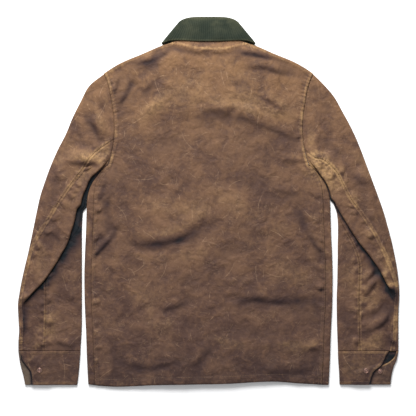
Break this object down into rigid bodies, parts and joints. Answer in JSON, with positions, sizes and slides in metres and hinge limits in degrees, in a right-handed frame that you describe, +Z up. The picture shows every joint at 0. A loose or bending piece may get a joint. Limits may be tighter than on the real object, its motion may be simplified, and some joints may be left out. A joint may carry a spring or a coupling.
{
  "type": "waxed cotton jacket",
  "caption": "Hip-length waxed cotton jacket with a corduroy collar and snap cuffs, lying face down and flat with its sleeves folded down beside the body.",
  "frame": {"origin": "on the surface that the jacket lies on, under the middle of its whole outline", "axes": "+X to the wearer's right side and the longer way across the outline, +Y from the hem to the collar, +Z up from the surface"},
  "size_m": [0.8004, 0.7742, 0.016],
  "materials": {
    "waxed_cotton": "waxed canvas, soft sheen, mottled, worn paler along its seams",
    "corduroy": "fine-wale corduroy, matt, rubbed paler along its folded edge",
    "copper_snap": "worn satin copper plate"
  },
  "bodies": {
    "root": {"back": "waxed_cotton", "left_front": "waxed_cotton", "right_front": "waxed_cotton", "left_under_sleeve": "waxed_cotton", "left_top_sleeve": "waxed_cotton", "right_under_sleeve": "waxed_cotton", "right_top_sleeve": "waxed_cotton", "collar": "corduroy", "left_cuff": "waxed_cotton", "right_cuff": "waxed_cotton", "left_cuff_ring": "copper_snap", "right_cuff_ring": "copper_snap", "right_cuff_stud": "copper_snap", "front_cap_1": "copper_snap", "front_cap_2": "copper_snap", "front_cap_3": "copper_snap", "front_cap_4": "copper_snap", "front_cap_5": "copper_snap"}
  },
  "joints": []
}
